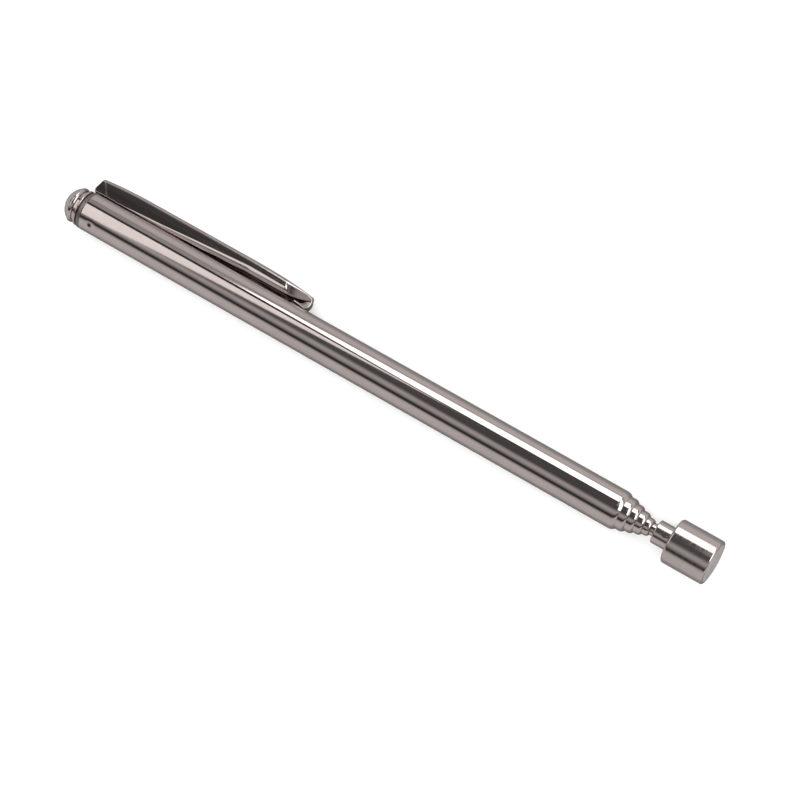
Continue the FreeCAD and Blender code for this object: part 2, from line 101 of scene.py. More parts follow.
# ---------------------------------------------------------------- magnet head
NECK_RADIUS = 2.1 * MM
NECK_LENGTH = 3.05 * MM
NECK_EDGE = 0.2 * MM
ROOT_GROOVE_WIDTH = 0.3 * MM
ROOT_GROOVE_DEPTH = 0.25 * MM
HEAD_REAR_EDGE = 0.45 * MM
HEAD_FRONT_EDGE = 0.35 * MM
MAGNET_EDGE = 0.1 * MM
ROD_SEAT_DEPTH = 2.6 * MM

# ---------------------------------------------------------------- pocket clip
CLIP_SHEET = 0.36 * MM
CLIP_HALF = 1.675 * MM
CLIP_CORNER = 0.75 * MM
CLIP_REAR = -1.2 * MM
PEAK_X = -0.85 * MM
PEAK_HEIGHT = 6.33 * MM
PIVOT_HEIGHT = 3.9 * MM
RISE_END = 9.0 * MM
BACK_HEIGHT = 6.85 * MM
FALL_START = 30.0 * MM
CLIP_TIP = 43.45 * MM
TIP_HEIGHT = 6.25 * MM
LIFT_START = 13.0 * MM
LIFT_END = 31.0 * MM
BASE_HEIGHT = 3.34 * MM
SHALLOW_HEIGHT = 4.12 * MM
BOW_START = 37.9 * MM
BOW_TIP_HALF = 0.65 * MM
BOW_TIP_DEPTH = 0.8 * MM
BOW_EDGE_POWER = 1.8             # how late the bow's lower edges rise to the tip
CURL_FROM_X = 5.0 * MM           # the lower edges are curled from here on
CURL_REAR = 0.06 * MM
CURL_WIDE = 1.75 * MM
CURL_END = 1.4 * MM
BOW_CURL = 0.2 * MM
TIP_CORNER = 0.12 * MM
EDGE_REACH = 0.45 * MM           # how far a curled edge reaches in under the clip
EDGE_SHARE = 0.6                 # at most this share of the clip's half width
BOW_LEAN = 0.12 * MM             # the bow's flanges lean in by this much at their lower edges
BOW_SLANT = 0.7 * MM             # the bend at the bow's start runs this much forwards going down
BOW_BEND = 0.9 * MM              # length over which the section changes into the bow's
FLANGE_ROWS = 24                 # rows of mesh down a flange
CREASE_FOOT_X = 1.6 * MM
CREASE_HEIGHT = 0.004 * MM
CREASE_WIDTH = 0.12 * MM
CHEEK_STEP = 0.018 * MM
CHEEK_RELIEF = 0.3               # slope that clears the washer when the clip is lifted
FOOT_HALF = 0.8 * MM
FOOT_BULGE = 0.4 * MM
TONGUE_LENGTH = 2.6 * MM
TONGUE_SHEET = 0.9 * CLIP_SHEET  # pressed a little thinner than the clip
TONGUE_HEIGHT = 0.6 * CLIP_SHEET # of its middle over the tube
TONGUE_LIFT = 0.3 * MM
TONGUE_ROOT = 0.8 * MM           # length of tongue that lies against the back
LEAST_RADIUS = 0.02 * MM         # of the inside of a bend
CLIP_STEP = 0.35 * MM            # spacing of the sections along the clip
FINE_STEP = 0.1 * MM             # and near its two ends
FINE_UNTIL = 3 * MM

# ---------------------------------------------------------------- camera and light
CAMERA_DISTANCE = 0.488
CAMERA_TILT = 14.7               # degrees that the magnet end leans towards the camera
CAMERA_SWING = 2.6               # degrees that the camera leans towards the clip's side
TOOL_SLOPE = 29.43               # degrees that the tool runs down to the right
LENS = 129.4
AIM_FROM_TUBE_REAR = 0.07392
AIM_RIGHT = -0.00725             # the aim point, moved in the picture plane
AIM_UP = 0.00182

FLOOR_SIZE = 8.0
FLOOR_WHITE = 0.95
FLOOR_ROUGHNESS = 0.9
FLOOR_NEAR = 5 * MM              # how far the tool mirrors the floor from, and the painted shade it sees there, darkest close to the tool
FLOOR_FAR = 18 * MM
MIRRORED_SHADE_NEAR = 0.16
MIRRORED_SHADE_FAR = 0.36


# ================================================================ placing and mesh helpers
def round_axis(x, radius, azimuth):
    """Point at x along the tool, at radius from its axis, at azimuth degrees from +Y towards +Z."""
    a = math.radians(azimuth)
    return Vector((TUBE_REAR + x, AXIS_Y + radius * math.cos(a), AXIS_Z + radius * math.sin(a)))


def on_clip(x, side, height):
    """Point at x along the tool, height out from its axis along the clip, side off its middle."""
    c, s = math.cos(CLIP_DROOP), math.sin(CLIP_DROOP)
    return Vector((TUBE_REAR + x, AXIS_Y + height * c + side * s, AXIS_Z - height * s + side * c))


def local_x(node):
    """Rear and front end of a CAD node, from the rear end of the outer tube."""
    low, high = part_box(node)
    return low.x - TUBE_REAR, high.x - TUBE_REAR


def outer_radius(node):
    low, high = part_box(node)
    return (high.z - low.z) / 2


def arc(centre_x, centre_r, radius, start, end, steps=ARC_STEPS):
    """Points on an arc about (centre_x, centre_r). 0 degrees is +x and 90 is outwards."""
    angles = (math.radians(start + (end - start) * i / steps) for i in range(steps + 1))
    return [(centre_x + radius * math.cos(a), centre_r + radius * math.sin(a)) for a in angles]


def spread(start, end, step):
    count = max(1, round((end - start) / step))
    return [start + (end - start) * i / count for i in range(count + 1)]


def finish_piece(name, bm, body, material, *nodes):
    """Turn a bmesh into a piece that rides on body and stands for the CAD nodes."""
    bmesh.ops.recalc_face_normals(bm, faces=bm.faces)
    for face in bm.faces:
        face.smooth = True
    for edge in bm.edges:
        if edge.calc_face_angle(0.0) > CRISP_ANGLE:
            edge.smooth = False
    mesh = bpy.data.meshes.new(name)
    bm.to_mesh(mesh)
    bm.free()
    mesh.materials.append(material)
    piece = bpy.data.objects.new(name, mesh)
    bpy.context.scene.collection.objects.link(piece)
    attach(piece, body)
    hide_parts(*nodes)
    return piece


def turned(outline, pressed=None):
    """Lathe a closed outline of (x, radius) points. pressed(x, radius, azimuth) may move a point in."""
    bm = bmesh.new()
    rings = []
    for x, radius in outline:
        if radius < 1e-9:
            rings.append([bm.verts.new(round_axis(x, 0.0, 0.0))] * TURN_SEGMENTS)
            continue
        ring = []
        for i in range(TURN_SEGMENTS):
            azimuth = 360.0 * i / TURN_SEGMENTS
            depth = pressed(x, radius, azimuth) if pressed else 0.0
            ring.append(bm.verts.new(round_axis(x, radius - depth, azimuth)))
        rings.append(ring)
    closed = outline[0][1] > 1e-9
    pairs = list(zip(rings, rings[1:])) + ([(rings[-1], rings[0])] if closed else [])
    for one, two in pairs:
        for i in range(TURN_SEGMENTS):
            j = (i + 1) % TURN_SEGMENTS
            corners = list(dict.fromkeys((one[i], one[j], two[j], two[i])))
            bm.faces.new(corners)
    return bm


def mark(x, radius, azimuth, at_x, at_azimuth, depth, reach):
    """Depth of a soft punch mark at a point of a round surface."""
    off = (azimuth - at_azimuth + 180) % 360 - 180
    away = math.hypot(x - at_x, radius * math.radians(off)) / reach
    return depth * (1 + math.cos(math.pi * away)) / 2 if away < 1 else 0.0


# ================================================================ materials
def principled(name):
    """New material and its Principled shader."""
    material = bpy.data.materials.new(name)
    material.use_nodes = True
    return material, material.node_tree.nodes["Principled BSDF"]


def stretched_noise(material, scale, detail=3.0):
    """Noise in the piece's own coordinates, stretched by a different scale along each axis."""
    nodes, links = material.node_tree.nodes, material.node_tree.links
    where = nodes.new("ShaderNodeTexCoord")
    mapping = nodes.new("ShaderNodeMapping")
    mapping.inputs["Scale"].default_value = scale
    noise = nodes.new("ShaderNodeTexNoise")
    noise.inputs["Scale"].default_value = 1.0
    noise.inputs["Detail"].default_value = detail
    links.new(where.outputs["Object"], mapping.inputs["Vector"])
    links.new(mapping.outputs["Vector"], noise.inputs["Vector"])
    return noise.outputs["Fac"]


def spread_value(material, source, low, high):
    """Map a noise's middle range onto low to high."""
    nodes, links = material.node_tree.nodes, material.node_tree.links
    ranged = nodes.new("ShaderNodeMapRange")
    ranged.inputs["From Min"].default_value = 0.3
    ranged.inputs["From Max"].default_value = 0.7
    ranged.inputs["To Min"].default_value = low
    ranged.inputs["To Max"].default_value = high
    links.new(source, ranged.inputs["Value"])
    return ranged.outputs["Result"]


def paint_pit_shade(material, shader, place, reach):
    """Painted shade: darken a metal's tint round a place, as the shade in a pit."""
    nodes, links = material.node_tree.nodes, material.node_tree.links
    where = nodes.new("ShaderNodeTexCoord")
    away = nodes.new("ShaderNodeVectorMath")
    away.operation = "DISTANCE"
    away.inputs[1].default_value = place
    links.new(where.outputs["Object"], away.inputs[0])
    unshaded = nodes.new("ShaderNodeMapRange")
    unshaded.inputs["From Min"].default_value = PIT_SHADE_CORE * reach
    unshaded.inputs["From Max"].default_value = reach
    unshaded.inputs["To Min"].default_value = 1.0
    unshaded.inputs["To Max"].default_value = 0.0
    links.new(away.outputs["Value"], unshaded.inputs["Value"])
    mix = nodes.new("ShaderNodeMix")
    mix.data_type = "RGBA"
    factor, tint, shade_tint = (s for s in mix.inputs if s.enabled)
    shade_tint.default_value = (*PIT_SHADE, 1)
    links.new(unshaded.outputs["Result"], factor)
    links.new(shader.inputs["Base Color"].links[0].from_socket, tint)
    links.new(next(s for s in mix.outputs if s.enabled), shader.inputs["Base Color"])


def metal(name, colour, worn, roughness, grain_scale, grain_height, metallic=1.0):
    """Plated or bare metal: cloudy tint, fine grain in the roughness, and a faint relief."""
    material, shader = principled(name)
    nodes, links = material.node_tree.nodes, material.node_tree.links
    shader.inputs["Metallic"].default_value = metallic
    clouds = stretched_noise(material, (180.0, 420.0, 420.0), 4.0)
    ramp = nodes.new("ShaderNodeValToRGB")
    ramp.color_ramp.elements[0].position = 0.35
    ramp.color_ramp.elements[0].color = (*worn, 1)
    ramp.color_ramp.elements[1].position = 0.62
    ramp.color_ramp.elements[1].color = (*colour, 1)
    links.new(clouds, ramp.inputs["Fac"])
    links.new(ramp.outputs["Color"], shader.inputs["Base Color"])
    grain = stretched_noise(material, grain_scale)
    links.new(spread_value(material, grain, *roughness), shader.inputs["Roughness"])
    bump = nodes.new("ShaderNodeBump")
    bump.inputs["Strength"].default_value = 1.0
    bump.inputs["Distance"].default_value = grain_height
    links.new(grain, bump.inputs["Height"])
    links.new(bump.outputs["Normal"], shader.inputs["Normal"])
    return material


ALONG = (25.0, 5200.0, 5200.0)       # grain drawn out along the tool
ROUND = (5200.0, 60.0, 60.0)         # grain left by turning
GROUND = (900.0, 5200.0, 300.0)      # grain left by grinding a flat face

PLATED = (0.60, 0.525, 0.505)
PLATED_WORN = (0.57, 0.492, 0.472)
# Painted shade in the dimple's pit: a dark tint that fades out over the reach.
PIT_SHADE = (0.05, 0.04, 0.035)
PIT_SHADE_REACH = 0.6 * MM
PIT_SHADE_CORE = 0.4                     # share of the reach that is painted shade all through
TUBE_METAL = metal("drawn plated tube", PLATED, PLATED_WORN, (0.05, 0.11), ALONG, 0.2e-6)
SECTION_METAL = metal("drawn plated section", PLATED, PLATED_WORN, (0.05, 0.11), ALONG, 0.2e-6)
CAP_METAL = metal("turned plated cap", PLATED, PLATED_WORN, (0.06, 0.16), ROUND, 0.4e-6)
CLIP_METAL = metal("plated spring strip", PLATED, PLATED_WORN, (0.06, 0.14), ALONG, 0.3e-6)
HEAD_METAL = metal("turned nickel", PLATED, PLATED_WORN, (0.11, 0.20), ROUND, 0.25e-6)
# Clip ring: rough like a sheared edge, with a darker tint that is painted shade.
RING_METAL = metal("clip ring with painted shade", (0.30, 0.26, 0.25), (0.22, 0.18, 0.17), (0.35, 0.5), ALONG, 0.8e-6)
FACE_METAL = metal("ground nickel", (0.78, 0.72, 0.70), (0.68, 0.62, 0.60), (0.28, 0.42), GROUND, 0.5e-6, 0.8)
BRASS = metal("turned brass", (0.80, 0.60, 0.28), (0.68, 0.48, 0.20), (0.15, 0.30), ROUND, 0.6e-6)
BRONZE = metal("rolled bronze", (0.72, 0.44, 0.26), (0.55, 0.32, 0.18), (0.20, 0.38), ALONG, 0.6e-6)


# ================================================================ pieces
def rolled_mouth(front, outer, wall, roll):
    """Outside and inside arcs of a mouth that curls in to guide the next piece."""
    hole = outer - RADIUS_STEP + RUNNING_CLEARANCE
    drop = outer - hole
    bend = (roll ** 2 + drop ** 2) / (2 * drop)
    centre_x, centre_r = front - roll, outer - bend
    out_end = 90 - math.degrees(math.asin(roll / bend))
    in_start = math.degrees(math.asin((hole - centre_r) / (bend - wall)))
    outside = arc(centre_x, centre_r, bend, 90, out_end)
    inside = arc(centre_x, centre_r, bend - wall, in_start, 90)
    return outside, inside


def outer_tube():
    outside, inside = rolled_mouth(TUBE_LENGTH, TUBE_RADIUS, TUBE_WALL, OUTER_MOUTH_ROLL)
    bore = TUBE_RADIUS - TUBE_WALL
    near_dimple = spread(DIMPLE_X - DENT_RADIUS, DIMPLE_X + DENT_RADIUS, MARK_STEP)
    outline = [(0.0, bore), (0.0, TUBE_RADIUS - EDGE_BREAK), (EDGE_BREAK, TUBE_RADIUS)]
    outline += [(x, TUBE_RADIUS) for x in near_dimple]
    outline += outside + inside

    def pressed(x, radius, azimuth):
        if radius < TUBE_RADIUS - EDGE_BREAK:
            return 0.0
        place = (x, radius, azimuth, DIMPLE_X, DIMPLE_AZIMUTH)
        return mark(*place, DIMPLE_DEPTH, DIMPLE_RADIUS) + mark(*place, DENT_DEPTH, DENT_RADIUS)

    shader = TUBE_METAL.node_tree.nodes["Principled BSDF"]
    # Painted shade: the tube's tint is darkened in and round the dimple.
    paint_pit_shade(TUBE_METAL, shader, round_axis(DIMPLE_X, TUBE_RADIUS - DIMPLE_DEPTH, DIMPLE_AZIMUTH), PIT_SHADE_REACH)
    finish_piece("tube_shell", turned(outline, pressed), "handle", TUBE_METAL, "outer_tube")


def inner_tube(index, node):
    """Sliding tube with a flared rear end and a rolled mouth."""
    rear, front = local_x(node)
    outer = TUBE_RADIUS - index * RADIUS_STEP
    outside, inside = rolled_mouth(front, outer, INNER_WALL, INNER_MOUTH_ROLL)
    outline = [
        (rear, outer - INNER_WALL),
        (rear, outer + LIP_HEIGHT),
        (rear + LIP_LENGTH, outer + LIP_HEIGHT),
        (rear + LIP_LENGTH, outer),
    ] + outside + inside
    finish_piece("section_%d_shell" % index, turned(outline), "section_%d" % index, SECTION_METAL, node)


def rod():
    rear, front = local_x("rod")
    radius = TUBE_RADIUS - (len(INNER_TUBES) + 1) * RADIUS_STEP
    lip = radius + LIP_HEIGHT
    outline = [
        (rear, 0.0),
        (rear, lip - EDGE_BREAK),
        (rear + EDGE_BREAK, lip),
        (rear + LIP_LENGTH, lip),
        (rear + LIP_LENGTH, radius),
        (front, radius),
        (front, 0.0),
    ]
    finish_piece("rod_shell", turned(outline), "head", SECTION_METAL, "rod")


def end_cap():
    """Domed button, waist and plug."""
    rear, plug_end = local_x("end_cap")
    radius = outer_radius("end_cap")
    rim_rear = rear + BUTTON_DOME
    rim_front = rim_rear + BUTTON_RIM
    bend = (BUTTON_DOME ** 2 + radius ** 2) / (2 * BUTTON_DOME)
    spread_angle = math.degrees(math.asin(radius / bend))
    dome = arc(rear + bend, 0.0, bend, 180, 180 - spread_angle, 3 * ARC_STEPS)
    dome[0] = (rear, 0.0)
    plug = TUBE_RADIUS - TUBE_WALL
    outline = dome + arc(rim_front - BUTTON_EDGE, radius - BUTTON_EDGE, BUTTON_EDGE, 90, 0) + [
        (rim_front, WAIST_RADIUS),
        (rim_front + WAIST_LENGTH, WAIST_RADIUS),
        (rim_front + WAIST_LENGTH, SHANK_RADIUS),
        (0.0, SHANK_RADIUS),
        (0.0, plug),
        (plug_end, plug),
        (plug_end, 0.0),
    ]
    finish_piece("cap_button", turned(outline), "handle", CAP_METAL, "end_cap")


def cap_washer():
    rear, front = local_x("cap_washer")
    radius = outer_radius("cap_washer")
    hub = (WAIST_RADIUS + SHANK_RADIUS) / 2
    edge = WASHER_EDGE
    outline = [(rear, SHANK_RADIUS)]
    outline += arc(rear + edge, radius - edge, edge, 180, 90, 6)
    outline += arc(rear + WASHER_LENGTH - edge, radius - edge, edge, 90, 0, 6)
    outline += [(rear + WASHER_LENGTH, hub), (front, hub), (front, SHANK_RADIUS)]
    finish_piece("cap_ring", turned(outline), "handle", CAP_METAL, "cap_washer")


def magnet_cup():
    """Neck and cup, with the crimp that holds the rod."""
    rear, front = local_x("magnet_cup")
    radius = outer_radius("magnet_cup")
    face = local_x("magnet")[0]
    recess = outer_radius("magnet")
    rod_radius = TUBE_RADIUS - (len(INNER_TUBES) + 1) * RADIUS_STEP
    head_rear = rear + NECK_LENGTH
    crimp_x = rear + CRIMP_FROM_NECK_REAR
    outline = [(rear + ROD_SEAT_DEPTH, 0.0), (rear + ROD_SEAT_DEPTH, rod_radius), (rear, rod_radius)]
    outline += arc(rear + NECK_EDGE, NECK_RADIUS - NECK_EDGE, NECK_EDGE, 180, 90)
    outline += [(x, NECK_RADIUS) for x in spread(crimp_x - CRIMP_RADIUS, crimp_x + CRIMP_RADIUS, MARK_STEP)]
    outline += [
        (head_rear - ROOT_GROOVE_WIDTH, NECK_RADIUS),
        (head_rear - ROOT_GROOVE_WIDTH, NECK_RADIUS - ROOT_GROOVE_DEPTH),
        (head_rear, NECK_RADIUS - ROOT_GROOVE_DEPTH),
    ]
    outline += arc(head_rear + HEAD_REAR_EDGE, radius - HEAD_REAR_EDGE, HEAD_REAR_EDGE, 180, 90)
    outline += arc(front - HEAD_FRONT_EDGE, radius - HEAD_FRONT_EDGE, HEAD_FRONT_EDGE, 90, 0)
    outline += [(front, recess), (face, recess), (face, 0.0)]

    def pressed(x, point_radius, azimuth):
        if abs(point_radius - NECK_RADIUS) > EDGE_BREAK:
            return 0.0
        return mark(x, point_radius, azimuth, crimp_x, CRIMP_AZIMUTH, CRIMP_DEPTH, CRIMP_RADIUS)

    finish_piece("head_cup", turned(outline, pressed), "head", HEAD_METAL, "magnet_cup")


def magnet():
    rear, front = local_x("magnet")
    radius = outer_radius("magnet")
    outline = [(rear, 0.0), (rear, radius)]
    outline += arc(front - MAGNET_EDGE, radius - MAGNET_EDGE, MAGNET_EDGE, 90, 0, 6)
    outline += [(front, 0.0)]
    finish_piece("head_magnet", turned(outline), "head", FACE_METAL, "magnet")


# ---------------------------------------------------------------- pocket clip
def blend_between(low, high, share):
    return low + (high - low) * share


def clip_back(x):
    """Height of the clip's back: it climbs, runs level and falls to the tip."""
    if x < RISE_END:
        left = (RISE_END - x) / (RISE_END - CLIP_REAR)
        return BACK_HEIGHT - (BACK_HEIGHT - PEAK_HEIGHT) * left ** 2
    passed = max(0.0, (x - FALL_START) / (CLIP_TIP - FALL_START))
    return BACK_HEIGHT - (BACK_HEIGHT - TIP_HEIGHT) * passed ** 2


def clip_lower_edge(x):
    """Height of the flanges' lower edges."""
    if x > BOW_START:
        along = (1 - bow_share(x)) ** BOW_EDGE_POWER
        return blend_between(SHALLOW_HEIGHT, TIP_HEIGHT - BOW_TIP_DEPTH, along)
    along = min(1.0, max(0.0, (x - LIFT_START) / (LIFT_END - LIFT_START)))
    return blend_between(BASE_HEIGHT, SHALLOW_HEIGHT, along)


def clip_curl(x):
    """Radius of the curled lower edges: it grows from nothing at the rear."""
    if x > BOW_START:
        return blend_between(CURL_END, BOW_CURL, bow_bend(x))
    if x > LIFT_END:
        return blend_between(CURL_WIDE, CURL_END, (x - LIFT_END) / (BOW_START - LIFT_END))
    return blend_between(CURL_REAR, CURL_WIDE, max(0.0, (x - CURL_FROM_X) / (LIFT_END - CURL_FROM_X)))


def bow_share(x):
    """How much of the bend's slant is left at x along the bow: all at its start, none at the tip."""
    return (CLIP_TIP - x) / (CLIP_TIP - BOW_START)


def bow_bend(x):
    """0 at the bow's start, smoothly up to 1 where the bend there has ended."""
    along = min(1.0, max(0.0, (x - BOW_START) / BOW_BEND))
    return along * along * (3 - 2 * along)


def clip_half(x):
    along = max(0.0, (x - BOW_START) / (CLIP_TIP - BOW_START))
    return blend_between(CLIP_HALF, BOW_TIP_HALF, along)


def half_section(x, inset):
    """(side, height) points from the middle of the back to the end of one curled edge."""
    half, top, bottom = clip_half(x), clip_back(x), clip_lower_edge(x)
    corner = blend_between(TIP_CORNER, CLIP_CORNER, min(1.0, bow_share(x)))
    curl = clip_curl(x)
    turn = math.acos(1 - min(EDGE_REACH, EDGE_SHARE * half, curl) / curl)
    lean = BOW_LEAN * bow_bend(x)
    upper = max(corner - inset, LEAST_RADIUS)
    lower = max(curl - inset, LEAST_RADIUS)
    low_middle = bottom + curl * math.sin(turn)
    points = [((half - corner) * share, top - inset) for share in (0.0, 0.5)]
    points += arc(half - max(corner, inset), top - max(corner, inset), upper, 90, 0, 10)
    start = Vector(points[-1])
    end = Vector((half - lean - inset, low_middle))
    points += [tuple(start.lerp(end, i / FLANGE_ROWS)) for i in range(1, FLANGE_ROWS)]
    points += arc(half - lean - max(curl, inset), low_middle, lower, 0, -math.degrees(turn), 14)
    return points


def behind_crease(x, height):
    """How far behind the fold between riser and flange a point lies, positive on the cheek."""
    foot = Vector((CREASE_FOOT_X, BASE_HEIGHT))
    peak = Vector((PEAK_X, PEAK_HEIGHT))
    along = (peak - foot).normalized()
    away = Vector((x, height)) - foot
    return -(away.x * along.y - away.y * along.x)


def clip_point(x, side, height, first, inset):
    """Place one point, leaning the first section back like the riser and folding its cheeks."""
    if first:
        lean = (PEAK_X - CLIP_REAR) / (PEAK_HEIGHT - PIVOT_HEIGHT)
        relief = CHEEK_RELIEF * max(0.0, PIVOT_HEIGHT - height) * (1 - inset / CLIP_SHEET)
        x = CLIP_REAR + lean * max(0.0, height - PIVOT_HEIGHT) + relief + inset
    elif x > BOW_START - FINE_STEP:
        x += BOW_SLANT * (clip_back(x) - height) / (BACK_HEIGHT - SHALLOW_HEIGHT) * bow_share(x)
    if inset == 0.0 and abs(side) > CLIP_HALF - EDGE_BREAK:
        away = behind_crease(x, height)
        ridge = CREASE_HEIGHT * math.exp(-(away / CREASE_WIDTH) ** 2)
        step = CHEEK_STEP * (1 + math.tanh(away / CREASE_WIDTH)) / 2
        side += math.copysign(ridge - CREASE_HEIGHT - step, side)
    return on_clip(x, side, height)


def clip_skin(bm, stations, inset):
    """One skin of the folded strip: rows of points from one curled edge over the back."""
    rows = []
    for index, x in enumerate(stations):
        half = half_section(x, inset)
        whole = [(-side, height) for side, height in reversed(half[1:])] + half
        rows.append([bm.verts.new(clip_point(x, s, h, index == 0, inset)) for s, h in whole])
    for one, two in zip(rows, rows[1:]):
        for i in range(len(one) - 1):
            bm.faces.new((one[i], one[i + 1], two[i + 1], two[i]))
    bm.faces.new(rows[0])
    bend = next(row for row, x in zip(rows, stations) if x > BOW_START - FINE_STEP)
    for one, two in zip(bend, bend[1:]):
        bm.edges.get((one, two)).smooth = False
    return rows


def clip_arm():
    """Folded strip, open towards the tube, closed at the rear by the riser."""
    bm = bmesh.new()
    stations = [CLIP_REAR] + spread(CLIP_REAR + 2 * CLIP_SHEET, FINE_UNTIL, FINE_STEP)
    stations += spread(FINE_UNTIL, BOW_START, CLIP_STEP)[1:]
    stations += spread(BOW_START, CLIP_TIP, FINE_STEP)[1:]
    outside = clip_skin(bm, stations, 0.0)
    inside = clip_skin(bm, stations, CLIP_SHEET)
    for edge in (0, -1):
        for i in range(len(outside) - 1):
            bm.faces.new((outside[i][edge], outside[i + 1][edge], inside[i + 1][edge], inside[i][edge]))
    bm.faces.new((outside[0][0], outside[0][-1], inside[0][-1], inside[0][0]))
    for i in range(len(outside[-1]) - 1):
        bm.faces.new((outside[-1][i], outside[-1][i + 1], inside[-1][i + 1], inside[-1][i]))
    clip_root(bm)
    clip_foot(bm)
    finish_piece("clip_strip", bm, "clip", CLIP_METAL, "clip_arm")


def strip(bm, path, thickness, half):
    """Bent strip of even thickness with rounded sides, along a path of (x, height) points."""
    loops = []
    for i, (x, height) in enumerate(path):
        before, after = path[max(0, i - 1)], path[min(len(path) - 1, i + 1)]
        run = Vector((after[0] - before[0], after[1] - before[1])).normalized()
        out = Vector((-run.y, run.x)) * thickness / 2
        loop = []
        for sign in (1, -1):
            for a in (0, 30, 60, 90, 120, 150, 180):
                turn = math.radians(a)
                side = sign * (half - thickness / 2 + thickness / 2 * math.sin(turn))
                lift = sign * math.cos(turn)
                loop.append(bm.verts.new(on_clip(x + out.x * lift, side, height + out.y * lift)))
        loops.append(loop)
    for one, two in zip(loops, loops[1:]):
        for i in range(len(one)):
            j = (i + 1) % len(one)
            bm.faces.new((one[i], one[j], two[j], two[i]))
    bm.faces.new(loops[0])
    bm.faces.new(loops[-1])


def clip_foot(bm):
    """Tongue that curls down from the tip, touches the tube and runs back under the clip."""
    top = TIP_HEIGHT - CLIP_SHEET
    bottom = TUBE_RADIUS + TONGUE_HEIGHT
    middle = (top + bottom) / 2
    centre = CLIP_TIP - CLIP_SHEET
    reach = FOOT_BULGE + CLIP_SHEET / 2
    turns = (math.radians(90 - 9 * i) for i in range(21))
    path = [(centre - TONGUE_ROOT, top + CLIP_SHEET / 4)]
    path += [(centre + reach * math.cos(a), middle + (top - middle) * math.sin(a)) for a in turns]
    path.append((CLIP_TIP - TONGUE_LENGTH, bottom + TONGUE_LIFT))
    strip(bm, path, TONGUE_SHEET, FOOT_HALF)


def clip_root(bm):
    """Tongue inside the riser that bends from the ring behind the tube."""
    half = CLIP_HALF - EDGE_REACH - CLIP_SHEET / 2
    strip(bm, [
        (CLIP_REAR + CLIP_SHEET, PIVOT_HEIGHT + 2 * CLIP_SHEET),
        (CLIP_REAR + CLIP_SHEET * 1.4, PIVOT_HEIGHT + CLIP_SHEET),
        (CLIP_REAR + CLIP_SHEET * 2.2, PIVOT_HEIGHT),
    ], CLIP_SHEET, half)


def paint(node, material):
    """Give a CAD node that keeps its own shape its material."""
    mesh = frame["nodes"][node].data
    mesh.materials.clear()
    mesh.materials.append(material)


# ================================================================ camera, floor and light
def add_camera():
    """Camera above the tool, with a long lens."""
    tilt, swing, slope = (math.radians(a) for a in (CAMERA_TILT, CAMERA_SWING, TOOL_SLOPE))
    back = Vector((math.sin(tilt), math.cos(tilt) * math.sin(swing), math.cos(tilt) * math.cos(swing)))
    along = Vector((1, 0, 0))
    along = (along - along.dot(back) * back).normalized()
    across = back.cross(along)
    right = along * math.cos(slope) + across * math.sin(slope)
    up = across * math.cos(slope) - along * math.sin(slope)
    point = round_axis(AIM_FROM_TUBE_REAR, 0.0, 0.0)
    place = point + back * CAMERA_DISTANCE
    aim = point + right * AIM_RIGHT + up * AIM_UP
    forward = (aim - place).normalized()
    right = forward.cross(up).normalized()
    up = right.cross(forward)
    data = bpy.data.cameras.new("camera")
    data.lens = LENS
    data.clip_start = 0.01
    camera = bpy.data.objects.new("camera", data)
    camera.matrix_world = Matrix.Translation(place) @ Matrix((right, up, -forward)).transposed().to_4x4()
    bpy.context.scene.collection.objects.link(camera)
    bpy.context.scene.camera = camera


def flat_sheet(name, corners, material):
    mesh = bpy.data.meshes.new(name)
    mesh.from_pydata([tuple(c) for c in corners], [], [tuple(range(len(corners)))])
    mesh.materials.append(material)
    sheet = bpy.data.objects.new(name, mesh)
    bpy.context.scene.collection.objects.link(sheet)
    return sheet


def add_floor():
    """White paper, with painted shade in the tool's reflections of it: glossy rays see it darker, most of all
    close beneath the tool.
    """
    material, shader = principled("floor paper")
    nodes, links = material.node_tree.nodes, material.node_tree.links
    # Painted shade: glossy rays get a darker paper tone, darker still over short rays close to the tool;
    # other rays get the white.
    ray = nodes.new("ShaderNodeLightPath")
    painted_near_shade = nodes.new("ShaderNodeMapRange")
    painted_near_shade.inputs["From Min"].default_value = FLOOR_NEAR
    painted_near_shade.inputs["From Max"].default_value = FLOOR_FAR
    painted_near_shade.inputs["To Min"].default_value = MIRRORED_SHADE_NEAR
    painted_near_shade.inputs["To Max"].default_value = MIRRORED_SHADE_FAR
    links.new(ray.outputs["Ray Length"], painted_near_shade.inputs["Value"])
    tone = nodes.new("ShaderNodeMapRange")
    tone.inputs["To Min"].default_value = FLOOR_WHITE
    links.new(ray.outputs["Is Glossy Ray"], tone.inputs["Value"])
    links.new(painted_near_shade.outputs["Result"], tone.inputs["To Max"])
    links.new(tone.outputs["Result"], shader.inputs["Base Color"])
    shader.inputs["Roughness"].default_value = FLOOR_ROUGHNESS
    half = FLOOR_SIZE / 2
    flat_sheet("floor", [(-half, -half, 0), (half, -half, 0), (half, half, 0), (-half, half, 0)], material)


# Brightness of the studio round the tool: (degrees from straight up towards -Y, level)
ROOM_LEVELS = (
    (-90, 0.66), (-79, 0.62), (-76, 0.38), (-52, 0.38), (-49.5, 0.16), (-48, 0.04), (-40, 0.04), (-37, 0.09),
    (0, 0.09), (3, 0.15), (9, 0.28), (14, 0.44), (20, 0.49), (26, 0.45), (32, 0.34), (38, 0.18),
    (42, 0.07), (46, 0.02), (50, 0.03), (54, 0.14), (58, 0.34), (64, 0.60), (80, 0.68), (90, 0.66),
)


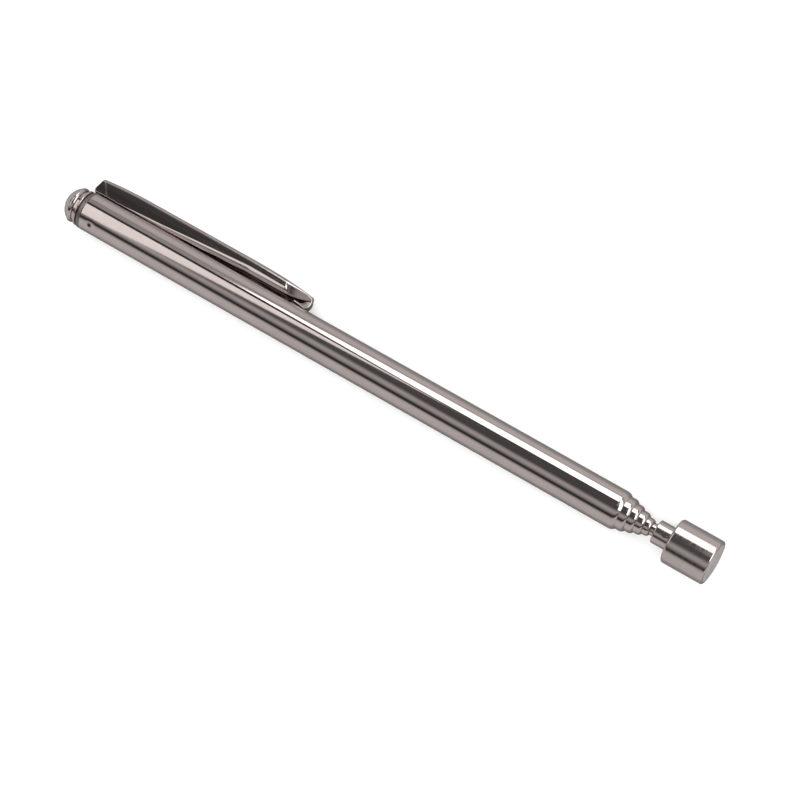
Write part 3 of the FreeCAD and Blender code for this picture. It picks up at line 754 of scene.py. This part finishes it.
def add_room():
    world = bpy.data.worlds.new("studio")
    bpy.context.scene.world = world
    world.use_nodes = True
    nodes, links = world.node_tree.nodes, world.node_tree.links
    coordinates = nodes.new("ShaderNodeTexCoord")
    split = nodes.new("ShaderNodeSeparateXYZ")
    links.new(coordinates.outputs["Generated"], split.inputs[0])
    flip = nodes.new("ShaderNodeMath")
    flip.operation = "MULTIPLY"
    flip.inputs[1].default_value = -1
    links.new(split.outputs["Y"], flip.inputs[0])
    angle = nodes.new("ShaderNodeMath")
    angle.operation = "ARCTAN2"
    links.new(flip.outputs[0], angle.inputs[0])
    links.new(split.outputs["Z"], angle.inputs[1])
    position = nodes.new("ShaderNodeMapRange")
    position.inputs["From Min"].default_value = math.radians(-90)
    position.inputs["From Max"].default_value = math.radians(90)
    links.new(angle.outputs[0], position.inputs["Value"])
    curve = nodes.new("ShaderNodeValToRGB")
    links.new(position.outputs["Result"], curve.inputs["Fac"])
    stops = curve.color_ramp.elements
    while len(stops) < len(ROOM_LEVELS):
        stops.new(0.5)
    for stop, (degrees, level) in zip(stops, ROOM_LEVELS):
        stop.position = (degrees + 90) / 180
        stop.color = (level, level, level, 1)
    links.new(curve.outputs["Color"], nodes["Background"].inputs["Color"])


def softbox(name, corners, level):
    """Flat glowing sheet that only the tool and the floor see."""
    material = bpy.data.materials.new(name)
    material.use_nodes = True
    nodes = material.node_tree.nodes
    nodes.remove(nodes["Principled BSDF"])
    glow = nodes.new("ShaderNodeEmission")
    glow.inputs["Strength"].default_value = level
    material.node_tree.links.new(glow.outputs[0], nodes["Material Output"].inputs["Surface"])
    panel = flat_sheet(name, corners, material)
    panel.visible_camera = False
    panel.visible_shadow = False


def overhead(height, *points):
    """Corners (x, y from the axis) of a level panel at height over the axis."""
    return [(x, AXIS_Y + y, AXIS_Z + height) for x, y in points]


def beside(distance, *points):
    """Corners (x, z from the axis) of an upright panel at distance to the clip's side."""
    return [(x, AXIS_Y + distance, AXIS_Z + z) for x, z in points]


def add_lights():
    softbox("side softbox", beside(
        0.45,
        (-0.230, 0.365),
        (-0.200, 0.260),
        (-0.150, 0.175),
        (-0.100, 0.125),
        (0.045, 0.105),
        (0.020, 0.489),
        (-0.162, 0.489),
        (-0.200, 0.420),
    ), 2.6)
    softbox("overhead panel", overhead(
        0.5,
        (-0.70, -0.25),
        (-0.285, -0.25),
        (-0.244, -0.092),
        (-0.208, 0.032),
        (-0.178, 0.149),
        (-0.155, 0.273),
        (-0.133, 0.375),
        (-0.70, 0.375),
    ), 1.2)
    softbox("strip light", overhead(
        0.5,
        (-0.10, 1.00),
        (1.50, 1.00),
        (5.00, 0.00),
        (0.45, 0.00),
    ), 2.6)
    softbox("pale card", overhead(
        0.49,
        (0.00, 0.18),
        (0.20, 0.18),
        (0.20, 0.40),
        (0.00, 0.40),
    ), 0.42)
    data = bpy.data.lights.new("soft fill", "SUN")
    data.energy = 4.0
    data.angle = math.radians(120)
    fill = bpy.data.objects.new("soft fill", data)
    fill.visible_glossy = False
    bpy.context.scene.collection.objects.link(fill)


# ================================================================ build
outer_tube()
for number, tube_node in enumerate(INNER_TUBES, start=1):
    inner_tube(number, tube_node)
rod()
end_cap()
cap_washer()
magnet_cup()
magnet()
clip_arm()
paint("clip_ring", RING_METAL)
for cad_node in frame["nodes"]:
    if "collar" in cad_node:
        paint(cad_node, BRASS)
    if "spring" in cad_node:
        paint(cad_node, BRONZE)
add_camera()
add_floor()
add_room()
add_lights()
bpy.context.scene.view_settings.view_transform = "Standard"
